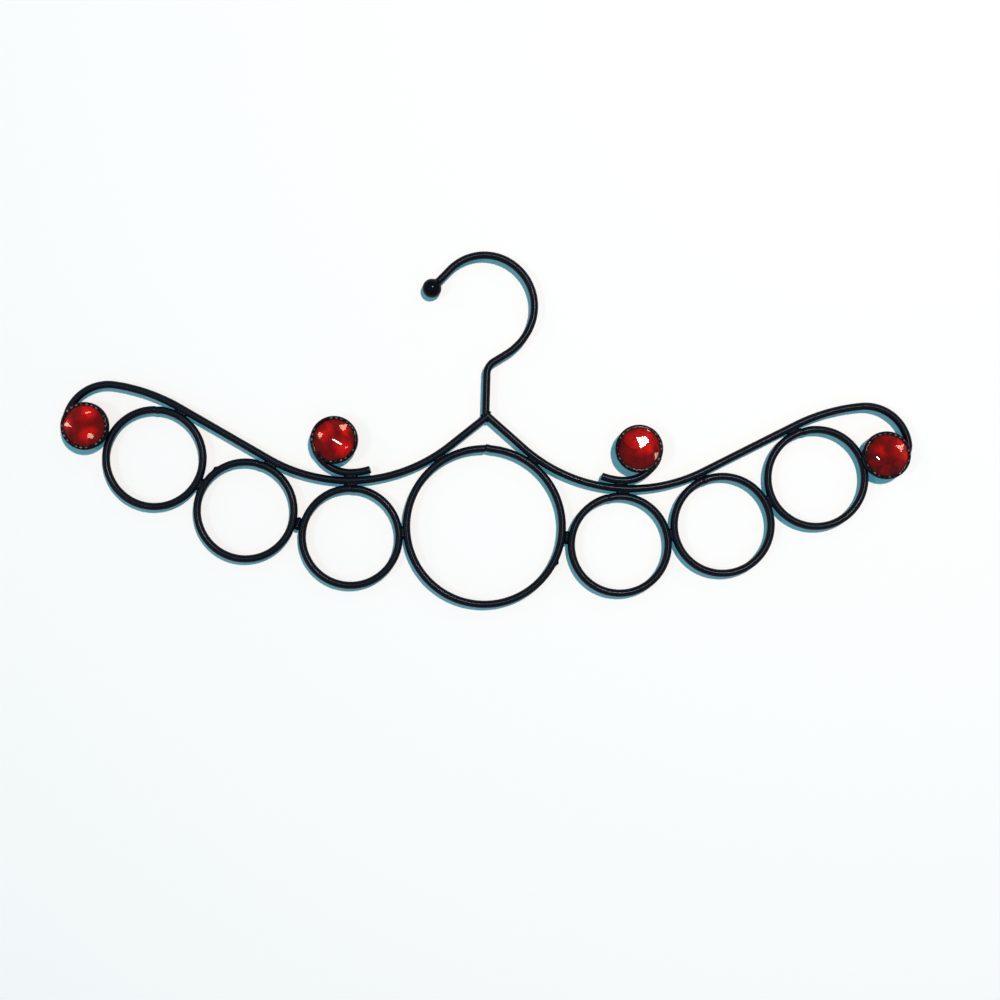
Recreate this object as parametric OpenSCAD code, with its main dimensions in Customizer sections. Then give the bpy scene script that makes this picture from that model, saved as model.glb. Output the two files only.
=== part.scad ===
// Scarf hanger of welded round wire: a hook with a ball tip, two scrolled arms,
// a row of seven rings and four crimped cups that hold faceted red stones.
// Everything is drawn flat, with the front facing up, and then stood upright.
// The origin is the inside top of the hook, where the hanger rests on its rail.

/* [Wire] */
// Diameter of the painted wire that every curve is bent from
wire_d = 3.6; // [3:0.1:4.2]
// Play between two wires that lie side by side before they are welded
weld_gap = 0.15; // [0.05:0.05:0.3]
// Length of each weld along the wires that it joins
weld_length = 7; // [4:0.5:9]
// Thickness of each weld
weld_d = 3; // [2.8:0.1:3.4]
// Thickness of the weld in each corner at the peak
corner_weld_d = 2.6; // [2:0.1:3]

/* [Hook] */
// Straight shank from its foot on the arms up to the neck
shank_length = 18.9; // [15:0.1:40]
// Sideways offset of the shank from the peak of the arms
shank_offset = -0.9; // [-1.2:0.1:1.2]
// Bend radius of the neck
neck_radius = 6.9; // [5:0.1:10]
// Angle that the neck turns away from the shank
neck_bend = 57; // [45:1:65]
// Straight length between the neck and the hook's side
neck_length = 7; // [4:0.5:12]
// Bend radius of the hook's side
side_radius = 27.9; // [24:0.1:34]
// Angle that the hook's side turns
side_bend = 36; // [30:1:42]
// Bend radius of the hook's crown
crown_radius = 24.2; // [21:0.1:30]
// Angle that the hook's crown turns
crown_bend = 91; // [84:1:100]
// Bend radius of the hook's front
front_radius = 22.5; // [20:0.1:28]
// Angle that the hook's front turns
front_bend = 67.5; // [60:0.5:75]
// Straight length from the front bend to the middle of the ball
tip_length = 12.2; // [9:0.1:20]
// Diameter of the ball on the tip
ball_d = 9; // [7:0.1:12]
// Depth that the wire enters the ball
ball_grip = 3; // [2:0.1:3.4]
// Clearance round the wire in the ball
ball_play = 0.05; // [0.02:0.01:0.1]

/* [Arms] */
// Angle of each arm below level at the peak
arm_slope = 40; // [36:0.5:44]
// Straight length of each arm beside the peak
arm_straight = 22.5; // [18:0.5:26]
// Bend radius of the sag in each arm
sag_radius = 76.2; // [70:0.5:84]
// Angle above level at which each arm climbs
climb_slope = 28.3; // [25:0.1:31]
// Straight length of the climb
climb_length = 48.5; // [44:0.5:60]
// Bend radius of the shoulder
shoulder_radius = 86.5; // [80:0.5:95]
// Angle that the shoulder turns
shoulder_bend = 21.4; // [18:0.1:24]
// Bend radius of the scroll at the end of each arm
scroll_radius = 20.4; // [18.5:0.1:24]
// Angle that the scroll turns
scroll_bend = 87; // [80:1:95]
// Bend radius of the curl that carries a cup
curl_radius = 8; // [6:0.1:9]
// Angle that the curl turns
curl_bend = 150; // [120:5:180]

/* [Rings] */
// Outside diameter of the centre ring
centre_ring_d = 76.9; // [70:0.5:84]
// Outside diameter of each of the six smaller rings
small_ring_d = 49.2; // [45:0.2:52]
// Gap between the centre ring and the left inner ring
left_inner_gap = 0.1; // [0.05:0.05:2]
// Gap between the left inner and middle rings
left_middle_gap = 1.8; // [0.05:0.05:2]
// Gap between the left middle and outer rings
left_outer_gap = 0.2; // [0.05:0.05:2]
// Gap between the centre ring and the right inner ring
right_inner_gap = 1.2; // [0.05:0.05:2]
// Gap between the right inner and middle rings
right_middle_gap = 0.1; // [0.05:0.05:2]
// Gap between the right middle and outer rings
right_outer_gap = 0.1; // [0.05:0.05:2]
// Gap between the two ends of each ring's wire, filled by its seam
seam_gap = 0.3; // [0.1:0.1:0.6]
// Length of the seam's collar along the wire
seam_length = 1.2; // [0.8:0.1:2]
// Height of the seam's collar above the wire
seam_proud = 0.25; // [0.1:0.05:0.5]

/* [Inner scrolls] */
// Distance along the arm from the peak to the inner scroll's weld
stem_reach = 73; // [66:0.5:78]
// Bend radius of the inner scroll's tail
tail_radius = 30; // [24:1:40]
// Angle that the tail turns up from its weld
tail_bend = 18; // [12:1:22]
// Bend radius of the inner scroll as it climbs to its cup
stem_radius = 18; // [16:0.1:20]
// Angle that the inner scroll climbs through before its curl
stem_bend = 62; // [55:1:68]

/* [Cups] */
// Outside diameter of each cup
cup_d = 22.5; // [20:0.1:24]
// Thickness of the cup's wall and crimped lip
cup_wall = 0.7; // [0.5:0.05:0.8]
// Thickness of the cup's floor
cup_floor = 0.6; // [0.4:0.1:1.2]
// Width that the lip leans in over the stone
lip_reach = 1; // [0.8:0.05:1.2]
// Height of the lip above the stone's edge
lip_rise = 0.9; // [0.8:0.05:1.4]
// Number of crimps round the lip
crimp_count = 26; // [20:1:32]
// Width of the cut between two crimps
crimp_cut = 0.8; // [0.4:0.1:1.2]
// Depth of the cut between two crimps
crimp_depth = 0.45; // [0.2:0.05:0.6]
// Angle of each crimp off the straight line to the middle
crimp_slant = 25; // [0:5:35]
// Gap between the wires and the back of each cup
cup_seat_gap = 0.05; // [0.02:0.01:0.2]
// Sideways offset of the left outer cup from the middle of its curl, positive away from the centre
left_outer_cup_x = -2.3; // [-4:0.1:2]
// Upward offset of the left outer cup from the middle of its curl
left_outer_cup_y = -1.8; // [-5:0.1:2]
// Sideways offset of the right outer cup from the middle of its curl, positive away from the centre
right_outer_cup_x = -3.3; // [-4:0.1:2]
// Upward offset of the right outer cup from the middle of its curl
right_outer_cup_y = -4.7; // [-5:0.1:2]
// Sideways offset of an inner cup from the middle of its curl
inner_cup_x = -1.6; // [-3:0.1:3]
// Upward offset of an inner cup from the middle of its curl
inner_cup_y = 2; // [-3:0.1:3]

/* [Stones] */
// Clearance between a stone's edge and the cup's wall
stone_play = 0.25; // [0.1:0.05:0.4]
// Height of a stone's upright edge
stone_edge = 1.1; // [0.8:0.1:2]
// Height of a stone's faceted crown above its edge
stone_crown = 3.6; // [2.5:0.1:5]
// Number of facets that meet at the top of a stone
stone_facets = 8; // [6:1:12]
// Thickness of the glue under a stone
glue_h = 0.35; // [0.2:0.05:0.6]
// Gap between the glue's rim and the stone's edge
glue_margin = 0.8; // [0.4:0.1:2]

/* [Hidden] */
$fn = 64;
section_facets = $fn;
bend_facets = 256;
wire_r = wire_d / 2;
// Every second step of a bent wire is this much thicker, so that two steps
// meet at a clean edge, and the thinner one runs this far into its neighbour
step_swell = 0.02;
step_lap = 0.2;
centre_r = (centre_ring_d - wire_d) / 2;
small_r = (small_ring_d - wire_d) / 2;
cup_r = cup_d / 2;
search_steps = 40;

// A path is a list of steps from a pose of [x, y, heading].
// A step of one number is a straight length, and a step of two is a bend of
// [radius, turn], where a positive turn goes to the left.
function step_length(step) = len(step) == 1 ? step[0] : step[0] * abs(step[1]) * PI / 180;

function along(pose, length) =
    [pose[0] + length * cos(pose[2]), pose[1] + length * sin(pose[2]), pose[2]];

function beside(pose, distance) =
    [pose[0] - distance * sin(pose[2]), pose[1] + distance * cos(pose[2]), pose[2]];

function turned(pose, angle) = [pose[0], pose[1], pose[2] + angle];

// Round a bend whose middle lies to the left of the pose by radius, or to the right if it is negative
function bend_end(pose, radius, turn) = beside(turned(beside(pose, radius), turn), -radius);

function bent(pose, radius, turn) = bend_end(pose, sign(turn) * radius, turn);

function step_end(pose, step, share = 1) =
    len(step) == 1 ? along(pose, share * step[0]) : bent(pose, step[0], share * step[1]);

function path_length(path, i = 0) =
    i == len(path) ? 0 : step_length(path[i]) + path_length(path, i + 1);

function pose_at(path, pose, distance, i = 0) =
    let (length = step_length(path[i]))
    distance <= length || i == len(path) - 1
        ? step_end(pose, path[i], distance / length)
        : pose_at(path, step_end(pose, path[i]), distance - length, i + 1);

function spot(pose) = [pose[0], pose[1]];

// The arm starts this far behind the peak, where its mitre is cut, and is drawn for the right side
mitre_stock = wire_d;
arm_start = along([0, 0, -arm_slope], -mitre_stock);
arm_run = [
    [mitre_stock + arm_straight],
    [sag_radius, arm_slope + climb_slope],
    [climb_length],
    [shoulder_radius, -shoulder_bend]
];
arm_end = [[scroll_radius, -scroll_bend], [curl_radius, -curl_bend]];
arm_path = concat(arm_run, arm_end);

// The hook starts at its foot, a little above the peak, and climbs
hook_start = [shank_offset, wire_r / 2, 90];
hook_path = [
    [shank_length],
    [neck_radius, -neck_bend],
    [neck_length],
    [side_radius, side_bend],
    [crown_radius, crown_bend],
    [front_radius, front_bend]
];
hook_end = along(pose_at(hook_path, hook_start, path_length(hook_path)), tip_length);
ball_wall = ball_d / 2 - ball_grip;

// The rail seat is where the hook's wire runs level, back towards the front of the hook
level_heading = 180;
function level_place(low, high, tries = search_steps) =
    let (middle = (low + high) / 2)
    tries == 0 ? middle
        : pose_at(hook_path, hook_start, middle)[2] < level_heading
            ? level_place(middle, high, tries - 1)
            : level_place(low, middle, tries - 1);
level_pose = pose_at(hook_path, hook_start, level_place(0, path_length(hook_path)));
seat = spot(beside(level_pose, wire_r));

// A ring hangs under the arm: its middle lies this far below the arm's own middle line
function drop(radius) = radius + wire_d + weld_gap;

function under_arm(place, radius) =
    spot(beside(pose_at(arm_path, arm_start, place), -drop(radius)));

function centre_place(low, high, tries = search_steps) =
    let (middle = (low + high) / 2)
    tries == 0 ? middle
        : under_arm(middle, centre_r)[0] < 0
            ? centre_place(middle, high, tries - 1)
            : centre_place(low, middle, tries - 1);

function next_place(from, reach, low, high, tries = search_steps) =
    let (middle = (low + high) / 2)
    tries == 0 ? middle
        : norm(under_arm(middle, small_r) - from) < reach
            ? next_place(from, reach, middle, high, tries - 1)
            : next_place(from, reach, low, middle, tries - 1);

run_length = path_length(arm_run);
centre_seat = centre_place(0, run_length);
centre = [0, under_arm(centre_seat, centre_r)[1]];
inner_reach = centre_r + small_r + wire_d;
small_reach = 2 * small_r + wire_d;

// Places along the arm of one side's three rings, from the gaps between them
function row_places(gaps) =
    let (inner = next_place(centre, inner_reach + gaps[0], centre_seat, run_length))
    let (inner_spot = under_arm(inner, small_r))
    let (middle = next_place(inner_spot, small_reach + gaps[1], inner, run_length))
    let (middle_spot = under_arm(middle, small_r))
    let (outer = next_place(middle_spot, small_reach + gaps[2], middle, run_length))
    [inner, middle, outer];

left_gaps = [left_inner_gap, left_middle_gap, left_outer_gap];
right_gaps = [right_inner_gap, right_middle_gap, right_outer_gap];
left_places = row_places(left_gaps);
right_places = row_places(right_gaps);
function row_spots(places) = [for (place = places) under_arm(place, small_r)];
left_spots = row_spots(left_places);
right_spots = row_spots(right_places);

// Where each ring's seam lies, as an angle round the ring
centre_seam = 91;
left_seams = [90, 104, 90];
right_seams = [105, 115, 108];

// The inner scroll is welded on top of the arm and runs both ways from its weld
stem_weld = pose_at(arm_path, arm_start, mitre_stock + stem_reach);
stem_pose = beside(stem_weld, wire_d + weld_gap);
stem_path = [[tail_radius, tail_bend], [stem_radius, stem_bend], [curl_radius, curl_bend]];
stem_start = bend_end(stem_pose, tail_radius, -tail_bend);

// A cup sits on the middle of its curl, moved by its own offset
outer_curl = pose_at(arm_path, arm_start, path_length(concat(arm_run, [arm_end[0]])));
outer_curl_middle = spot(beside(outer_curl, -curl_radius));
left_outer_spot = outer_curl_middle + [left_outer_cup_x, left_outer_cup_y];
right_outer_spot = outer_curl_middle + [right_outer_cup_x, right_outer_cup_y];
inner_curl = bent(stem_pose, stem_radius, stem_bend);
inner_cup = spot(beside(inner_curl, curl_radius)) + [inner_cup_x, inner_cup_y];

// Heights through a cup, measured from the wires' middle plane towards the front
cup_back = wire_r + cup_seat_gap;
glue_back = cup_back + cup_floor;
stone_back = glue_back + glue_h;
stone_edge_top = stone_back + stone_edge;
stone_r = cup_r - cup_wall - stone_play;
lip_top = stone_edge_top + lip_rise;

black = [0.06, 0.07, 0.1];
red = [0.62, 0.02, 0.04];
amber = [0.8, 0.74, 0.55];

module upright() {
    rotate([90, 0, 0])
        translate([-seat[0], -seat[1], 0])
            children();
}

module at(pose) {
    translate([pose[0], pose[1], 0])
        rotate(len(pose) > 2 ? pose[2] : 0)
            children();
}

module flip(left) {
    mirror([left ? 1 : 0, 0, 0])
        children();
}

// Wire bent along a path, from a pose
module wire(path, pose) {
    for (i = [0:len(path) - 1]) {
        thick = i % 2 == 1;
        before = thick || i == 0 ? 0 : step_lap;
        after = thick || i == len(path) - 1 ? 0 : step_lap;
        at(pose_at(path, pose, path_length(path) - path_length(path, i)))
            if (len(path[i]) == 1)
                wire_straight(path[i][0], thick, before, after);
            else
                wire_bend(path[i][0], path[i][1], thick, before, after);
    }
}

// The section's own start lies at the front of the wire, clear of its welds
module wire_section(thick = false) {
    rotate(90)
        circle(d = wire_d + (thick ? step_swell : 0), $fn = section_facets);
}

module wire_straight(length, thick, before, after) {
    translate([-before, 0, 0])
        rotate([0, 90, 0])
            linear_extrude(length + before + after)
                wire_section(thick);
}

module wire_bend(radius, turn, thick, before, after) {
    lap_before = before / radius * 180 / PI;
    lap_after = after / radius * 180 / PI;
    translate([0, sign(turn) * radius, 0])
        rotate(turn > 0 ? -90 - lap_before : 90 + turn - lap_after)
            rotate_extrude(angle = abs(turn) + lap_before + lap_after, $fn = bend_facets)
                translate([radius, 0])
                    wire_section(thick);
}

// A ring as its welds meet it, whose own start lies at the bottom, clear of them
module ring_wire(radius) {
    rotate(-90)
        rotate_extrude($fn = bend_facets)
            translate([radius, 0])
                wire_section();
}

// A ring is one wire whose two ends face each other across the seam
module ring(radius, seam) {
    gap_angle = seam_gap / radius * 180 / PI;
    rotate(seam + gap_angle / 2)
        rotate_extrude(angle = 360 - gap_angle, $fn = bend_facets)
            translate([radius, 0])
                wire_section();
}

module small_ring(spots, seams, i, left) {
    color(black)
        upright()
            flip(left)
                at(spots[i])
                    ring(small_r, seams[i]);
}

// A weld is a round bead that lies along the wires
module bead() {
    rotate([0, 90, 0])
        cylinder(d = weld_d, h = weld_length, center = true);
}

module arm_wire() {
    wire(arm_path, arm_start);
}

// The two arms meet in an upright mitre at the peak
module mitre_cut() {
    translate([weld_gap / 2 - 2 * wire_d, -2 * wire_d, -wire_d])
        cube([2 * wire_d, 4 * wire_d, 2 * wire_d]);
}

module arm(left) {
    color(black)
        upright()
            flip(left)
                difference() {
                    arm_wire();
                    mitre_cut();
                }
}

// The first stretch of an arm, cut at its mitre
module arm_stub(left) {
    flip(left)
        difference() {
            wire([[mitre_stock + arm_straight / 2]], arm_start);
            mitre_cut();
        }
}

// The shank's foot is hollowed to sit on the two arms
module foot_hollow() {
    for (left = [false, true])
        flip(left)
            at(arm_start)
                rotate([0, 90, 0])
                    cylinder(d = wire_d + 2 * weld_gap, h = arm_straight);
}

module hook_wire() {
    color(black)
        upright()
            difference() {
                wire(concat(hook_path, [[tip_length - ball_wall]]), hook_start);
                foot_hollow();
            }
}

module hook_ball() {
    color(black)
        upright()
            at(hook_end)
                difference() {
                    sphere(d = ball_d);
                    translate([-ball_d, 0, 0])
                        rotate([0, 90, 0])
                            cylinder(d = wire_d + 2 * ball_play, h = ball_d - ball_wall + ball_play);
                }
}

module centre_ring() {
    color(black)
        upright()
            at(centre)
                ring(centre_r, centre_seam);
}

module inner_scroll_wire() {
    wire(stem_path, stem_start);
}

module inner_scroll(left) {
    color(black)
        upright()
            flip(left)
                inner_scroll_wire();
}

// Section of the cup: a floor, an upright wall and a lip that leans in over the stone
module cup_section() {
    bore_r = cup_r - cup_wall;
    polygon([
        [0, cup_back],
        [cup_r, cup_back],
        [cup_r, stone_edge_top],
        [cup_r - lip_reach + cup_wall / 2, lip_top],
        [bore_r - lip_reach, lip_top - cup_wall / 2],
        [bore_r, stone_edge_top - cup_wall / 2],
        [bore_r, glue_back],
        [0, glue_back]
    ]);
}

module cup(spot_xy, left) {
    color(black)
        upright()
            flip(left)
                at(spot_xy)
                    difference() {
                        rotate_extrude()
                            cup_section();
                        for (i = [0:crimp_count - 1])
                            rotate(360 / crimp_count * i)
                                translate([cup_r - lip_reach, 0, lip_top - crimp_depth])
                                    rotate(crimp_slant)
                                        translate([-cup_wall - lip_reach, -crimp_cut / 2, 0])
                                            cube([2 * (cup_wall + lip_reach), crimp_cut, 2 * crimp_depth]);
                    }
}

// Levels of a stone's crown as [share of the edge radius, share of the crown height]
edge_level = [1, 0];
low_level = [0.76, 0.5];
high_level = [0.42, 0.86];

function level_points(level, count, offset) = [
    for (i = [0:count - 1])
        let (angle = 360 / count * (i + offset))
        [level[0] * stone_r * cos(angle), level[0] * stone_r * sin(angle), level[1] * stone_crown]
];

module stone_crown_solid() {
    n = stone_facets;
    rim = 2 * n;
    low = rim;
    high = low + n;
    top = high + n;
    points = concat(
        level_points(edge_level, rim, 0),
        level_points(low_level, n, 0),
        level_points(high_level, n, 0.5),
        [[0, 0, stone_crown]]
    );
    faces = concat(
        [[for (i = [0:rim - 1]) i]],
        [for (i = [0:n - 1]) [low + i, 2 * i + 1, 2 * i]],
        [for (i = [0:n - 1]) [low + i, low + (i + 1) % n, 2 * i + 1]],
        [for (i = [0:n - 1]) [low + (i + 1) % n, (2 * i + 2) % rim, 2 * i + 1]],
        [for (i = [0:n - 1]) [high + i, low + (i + 1) % n, low + i]],
        [for (i = [0:n - 1]) [high + i, high + (i + 1) % n, low + (i + 1) % n]],
        [for (i = [0:n - 1]) [top, high + (i + 1) % n, high + i]]
    );
    polyhedron(points, faces);
}

module stone(spot_xy, left) {
    color(red)
        upright()
            flip(left)
                at(spot_xy)
                    translate([0, 0, stone_back]) {
                        linear_extrude(stone_edge)
                            polygon([for (p = level_points(edge_level, 2 * stone_facets, 0)) [p[0], p[1]]]);
                        translate([0, 0, stone_edge])
                            stone_crown_solid();
                    }
}

module glue(spot_xy, left) {
    color(amber)
        upright()
            flip(left)
                at(spot_xy)
                    translate([0, 0, glue_back])
                        cylinder(r = stone_r - glue_margin, h = glue_h);
}

// The weld at the peak fills the three corners between the shank and the two arms
module peak_weld() {
    rise = wire_r / cos(arm_slope);
    corners = [
        [shank_offset - wire_r, rise - (wire_r - shank_offset) * tan(arm_slope)],
        [shank_offset + wire_r, rise - (wire_r + shank_offset) * tan(arm_slope)],
        [0, -rise]
    ];
    color(black)
        upright()
            for (corner = corners)
                difference() {
                    at(corner)
                        cylinder(d = corner_weld_d, h = weld_d, center = true);
                    arm_stub(false);
                    arm_stub(true);
                    difference() {
                        wire([[shank_length]], hook_start);
                        foot_hollow();
                    }
                }
}

module arm_weld(place) {
    at(beside(pose_at(arm_path, arm_start, place), -(wire_d + weld_gap) / 2))
        bead();
}

module arm_welds(spots, places, left) {
    color(black)
        upright()
            flip(left)
                difference() {
                    union() {
                        arm_weld(centre_seat);
                        for (place = places)
                            arm_weld(place);
                    }
                    arm_wire();
                    at(centre)
                        ring_wire(centre_r);
                    for (spot_xy = spots)
                        at(spot_xy)
                            ring_wire(small_r);
                }
}

// A bead halfway between two neighbouring rings
module row_weld(from, to, from_r, gap) {
    way = to - from;
    heading = atan2(way[1], way[0]);
    at(turned(along([from[0], from[1], heading], from_r + wire_r + gap / 2), 90))
        bead();
}

module row_welds(spots, gaps, left) {
    color(black)
        upright()
            flip(left)
                difference() {
                    union() {
                        row_weld(centre, spots[0], centre_r, gaps[0]);
                        for (i = [1:len(spots) - 1])
                            row_weld(spots[i - 1], spots[i], small_r, gaps[i]);
                    }
                    at(centre)
                        ring_wire(centre_r);
                    for (spot_xy = spots)
                        at(spot_xy)
                            ring_wire(small_r);
                }
}

module scroll_weld(left) {
    color(black)
        upright()
            flip(left)
                difference() {
                    at(beside(stem_weld, (wire_d + weld_gap) / 2))
                        bead();
                    arm_wire();
                    inner_scroll_wire();
                }
}

// A bead on the back of a cup, against the inside of the curl that carries it
module cup_weld(curl, side) {
    at(beside(bent(curl, curl_radius, side * curl_bend / 2), side * weld_d / 2))
        translate([0, 0, wire_r - weld_d / 4])
            bead();
}

module cup_welds(left) {
    color(black)
        upright()
            flip(left)
                difference() {
                    union() {
                        cup_weld(outer_curl, -1);
                        cup_weld(inner_curl, 1);
                    }
                    arm_wire();
                    inner_scroll_wire();
                    translate([0, -cup_d, cup_back])
                        cube([2 * path_length(arm_path), 4 * cup_d, weld_d]);
                }
}

module seam(radius, angle) {
    difference() {
        rotate(angle)
            translate([radius, 0, 0])
                rotate([90, 0, 0])
                    cylinder(r = wire_r + seam_proud, h = seam_length, center = true);
        ring(radius, angle);
    }
}

module ring_seams() {
    color(black)
        upright() {
            at(centre)
                seam(centre_r, centre_seam);
            for (i = [0:2]) {
                flip(true)
                    at(left_spots[i])
                        seam(small_r, left_seams[i]);
                at(right_spots[i])
                    seam(small_r, right_seams[i]);
            }
        }
}

hook_wire();
hook_ball();
arm(true);  // left_arm
arm(false);  // right_arm
centre_ring();
small_ring(left_spots, left_seams, 0, true);  // left_inner_ring
small_ring(left_spots, left_seams, 1, true);  // left_middle_ring
small_ring(left_spots, left_seams, 2, true);  // left_outer_ring
small_ring(right_spots, right_seams, 0, false);  // right_inner_ring
small_ring(right_spots, right_seams, 1, false);  // right_middle_ring
small_ring(right_spots, right_seams, 2, false);  // right_outer_ring
inner_scroll(true);  // left_inner_scroll
inner_scroll(false);  // right_inner_scroll
cup(inner_cup, true);  // left_inner_cup
cup(left_outer_spot, true);  // left_outer_cup
cup(inner_cup, false);  // right_inner_cup
cup(right_outer_spot, false);  // right_outer_cup
stone(inner_cup, true);  // left_inner_stone
stone(left_outer_spot, true);  // left_outer_stone
stone(inner_cup, false);  // right_inner_stone
stone(right_outer_spot, false);  // right_outer_stone
glue(inner_cup, true);  // left_inner_glue
glue(left_outer_spot, true);  // left_outer_glue
glue(inner_cup, false);  // right_inner_glue
glue(right_outer_spot, false);  // right_outer_glue
peak_weld();
arm_welds(left_spots, left_places, true);  // left_arm_welds
arm_welds(right_spots, right_places, false);  // right_arm_welds
row_welds(left_spots, left_gaps, true);  // left_row_welds
row_welds(right_spots, right_gaps, false);  // right_row_welds
scroll_weld(true);  // left_scroll_weld
scroll_weld(false);  // right_scroll_weld
cup_welds(true);  // left_cup_welds
cup_welds(false);  // right_cup_welds
ring_seams();
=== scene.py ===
# %% [markdown]
# # A scarf hanger of painted wire
#
# The real hanger is bent from one thickness of steel wire, welded, dipped in gloss black paint and
# finished with four red stones in crimped cups. This lesson dresses its exact model: the wires are
# drawn again as smooth tubes, the cups get their crimps, and every surface gets a painted finish.

# %% Load the frame
import math
import bmesh
import bpy
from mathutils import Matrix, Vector, noise
from mathutils.geometry import delaunay_2d_cdt


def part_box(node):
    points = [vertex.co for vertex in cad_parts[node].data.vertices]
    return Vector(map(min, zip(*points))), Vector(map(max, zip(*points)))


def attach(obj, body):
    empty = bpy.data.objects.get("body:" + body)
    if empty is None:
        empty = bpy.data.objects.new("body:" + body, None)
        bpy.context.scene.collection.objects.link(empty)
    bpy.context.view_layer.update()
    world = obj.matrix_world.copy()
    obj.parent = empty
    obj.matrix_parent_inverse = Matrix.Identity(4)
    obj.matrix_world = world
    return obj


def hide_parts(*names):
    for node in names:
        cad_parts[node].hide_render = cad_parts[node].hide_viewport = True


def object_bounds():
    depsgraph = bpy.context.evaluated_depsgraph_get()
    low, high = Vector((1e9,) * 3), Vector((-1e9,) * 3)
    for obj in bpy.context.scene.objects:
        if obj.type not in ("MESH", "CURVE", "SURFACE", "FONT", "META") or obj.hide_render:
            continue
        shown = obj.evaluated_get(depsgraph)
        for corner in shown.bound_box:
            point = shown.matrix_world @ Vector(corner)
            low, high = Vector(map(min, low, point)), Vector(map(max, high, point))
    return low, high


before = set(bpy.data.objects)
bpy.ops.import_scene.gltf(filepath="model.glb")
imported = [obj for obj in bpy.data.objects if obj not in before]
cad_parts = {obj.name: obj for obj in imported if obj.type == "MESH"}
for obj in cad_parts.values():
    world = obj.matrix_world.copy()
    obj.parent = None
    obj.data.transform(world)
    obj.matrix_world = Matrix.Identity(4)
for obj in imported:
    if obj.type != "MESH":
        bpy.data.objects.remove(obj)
cad_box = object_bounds()
scene = bpy.context.scene
scene.view_settings.view_transform = "Standard"
mm = 0.001
print("model box in mm:", [[round(v / mm, 1) for v in corner] for corner in cad_box])

# %% [markdown]
# The sizes that the looks need come from the frame where they can. A ring's box gives its middle,
# its width and the thickness of its wire. The peak, where the arms meet, lies straight above the
# middle of the centre ring, at a height that follows from how the ring touches both arms.

# %% Sizes from the frame
def middle(node):
    low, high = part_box(node)
    return (low + high) / 2


def width(node):
    low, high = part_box(node)
    return high.x - low.x


ring_low, ring_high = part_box("centre_ring")
wire_r = (ring_high.y - ring_low.y) / 2
peak_rise = 52.064 * mm
peak = middle("centre_ring") + Vector((0, 0, peak_rise))
print("wire is", round(2 * wire_r / mm, 2), "mm thick, peak at", [round(v / mm, 2) for v in peak])

# %% [markdown]
# ## Camera
#
# The camera looks straight at the front from half a metre. The hanger lies a little turned in the
# picture, so the camera is rolled by that angle about its own line of sight. The lens follows from
# the width that the picture covers at the wires.

# %% Camera
view_distance = 500 * mm
view_width = 470.6 * mm
view_middle = Vector((10.05 * mm, 0, -113.13 * mm))
picture_turn = math.radians(1.65)

camera = bpy.data.objects.new("camera", bpy.data.cameras.new("camera"))
scene.collection.objects.link(camera)
camera.data.sensor_width = 36
camera.data.lens = 36 * view_distance / view_width
camera.location = view_middle - Vector((0, view_distance, 0))
camera.rotation_euler = (math.radians(90), -picture_turn, 0)
camera.data.clip_start = 0.01
camera.data.clip_end = 20
scene.camera = camera
print("lens", round(camera.data.lens, 2), "mm")

# %% [markdown]
# ## Stage and light
#
# The hanger lies on a pale sheet, so its shadows are close and short. The ball on the hook is the
# thickest part, so the sheet is a wide plane that touches the back of the ball. Its far side is
# see-through, so that it doesn't hide the back of the hanger. Its shadows are blue green, so the
# world that fills them is cool, and the sheet shows the camera a faint blue green of its own.
# Where the camera or a reflection meets the world itself, the world is a plain pale backdrop.

# %% Node helpers
def new_material(name):
    material = bpy.data.materials.new(name)
    material.use_nodes = True
    tree = material.node_tree
    return material, tree, tree.nodes["Principled BSDF"], tree.nodes["Material Output"]


def add(tree, kind, **settings):
    node = tree.nodes.new(kind)
    for key, value in settings.items():
        setattr(node, key, value)
    return node


# %% Sheet
sheet_half = 3000 * mm
sheet_y = cad_box[1].y

sheet_paint, tree, shader, output = new_material("pale_sheet")
shader.inputs["Base Color"].default_value = (0.955, 0.845, 0.80, 1)
shader.inputs["Roughness"].default_value = 0.9
shader.inputs["Specular IOR Level"].default_value = 0.05
shader.inputs["Emission Color"].default_value = (0.02, 0.15, 0.19, 1)
ray = add(tree, "ShaderNodeLightPath")
clear = add(tree, "ShaderNodeBsdfTransparent")
side = add(tree, "ShaderNodeNewGeometry")
mix = add(tree, "ShaderNodeMixShader")
tree.links.new(ray.outputs["Is Camera Ray"], shader.inputs["Emission Strength"])
tree.links.new(side.outputs["Backfacing"], mix.inputs[0])
tree.links.new(shader.outputs[0], mix.inputs[1])
tree.links.new(clear.outputs[0], mix.inputs[2])
tree.links.new(mix.outputs[0], output.inputs["Surface"])

corners = [(-1, -1), (1, -1), (1, 1), (-1, 1)]
sheet_mesh = bpy.data.meshes.new("sheet")
sheet_corners = [(x * sheet_half, sheet_y, view_middle.z + z * sheet_half) for x, z in corners]
sheet_mesh.from_pydata(sheet_corners, [], [(0, 1, 2, 3)])
sheet_mesh.materials.append(sheet_paint)
sheet = bpy.data.objects.new("sheet", sheet_mesh)
scene.collection.objects.link(sheet)
facing = sheet_mesh.polygons[0].normal
print("sheet at y", round(sheet_y / mm, 2), "mm, facing", [round(v, 2) for v in facing])

# %% World
fill_colour = (0.01, 0.12, 0.21, 1)
backdrop_colour = (0.66, 0.70, 0.72, 1)

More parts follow.
